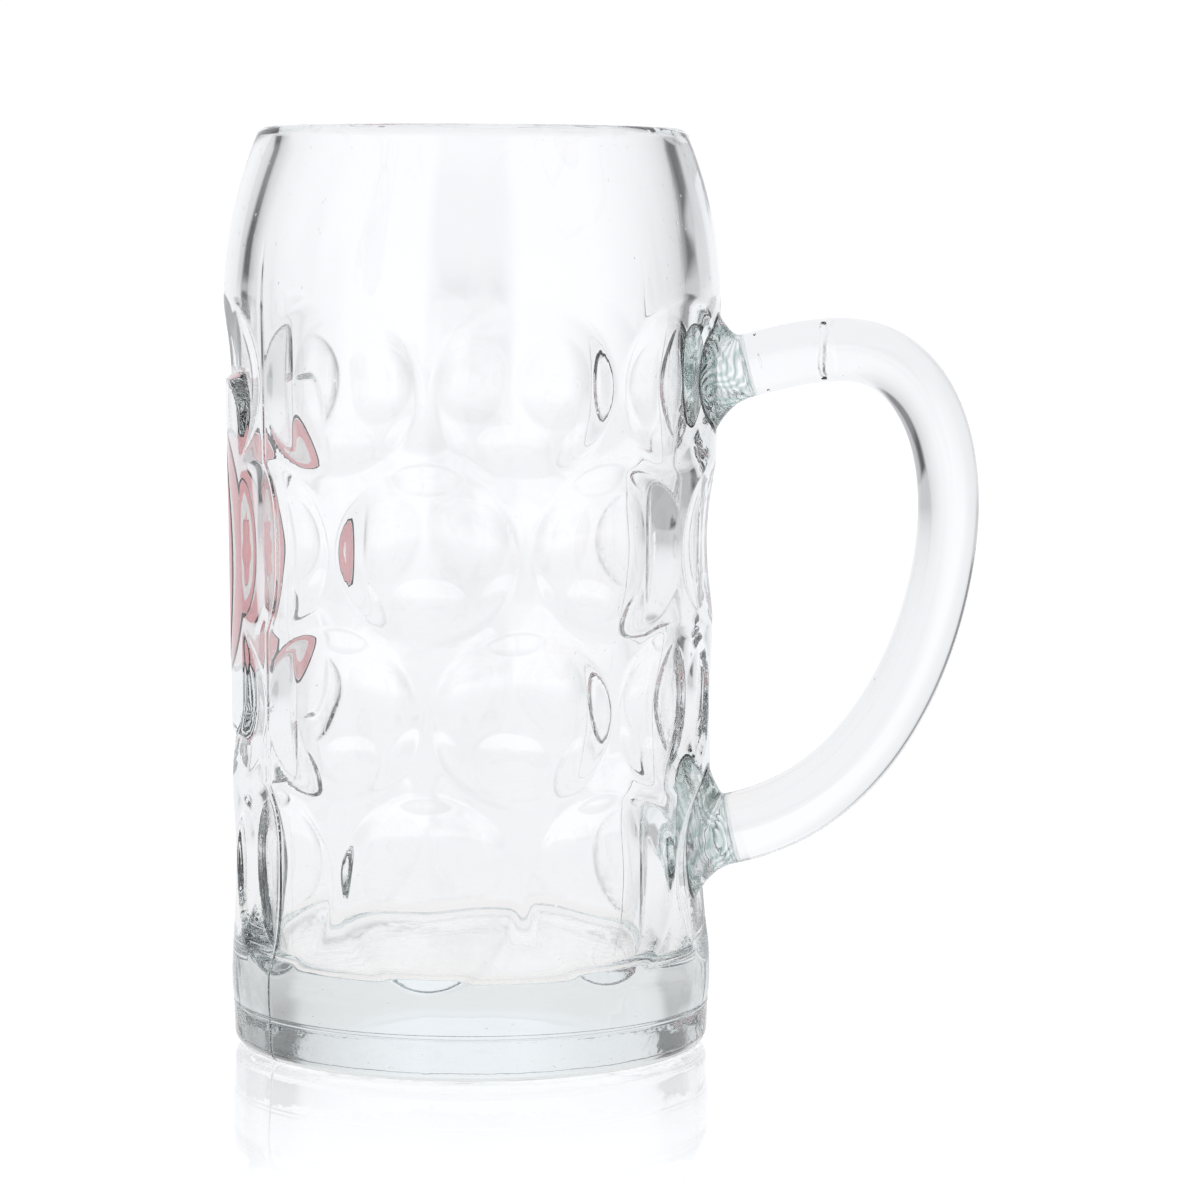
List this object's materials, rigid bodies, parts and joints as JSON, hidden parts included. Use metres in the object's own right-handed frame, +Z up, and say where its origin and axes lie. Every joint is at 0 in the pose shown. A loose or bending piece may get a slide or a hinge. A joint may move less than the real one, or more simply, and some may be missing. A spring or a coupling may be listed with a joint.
{
  "type": "beer mug",
  "caption": "Tall clear pressed-glass beer mug with rows of round dimples, a heavy base, a rounded lip, a welded loop handle and an oval enamel badge on a smooth panel.",
  "frame": {"origin": "on the mug's axis, in the plane of the flat foot that it stands on", "axes": "+Z up along the mug's axis, +X towards the handle, -X towards the panel with the badge"},
  "size_m": [0.1647, 0.1082, 0.2],
  "materials": {
    "clear_glass": "clear pressed soda-lime glass, faintly green in thick places",
    "enamel_black": "fired screen-printed enamel, satin",
    "enamel_red": "fired screen-printed enamel, satin",
    "enamel_grey": "fired screen-printed enamel, satin"
  },
  "bodies": {
    "root": {"mug_body": "clear_glass", "handle": "clear_glass", "upper_handle_weld": "clear_glass", "lower_handle_weld": "clear_glass", "enamel_keyline": "enamel_black", "enamel_band": "enamel_red", "enamel_field": "enamel_grey", "enamel_rosette": "enamel_red"}
  },
  "joints": []
}
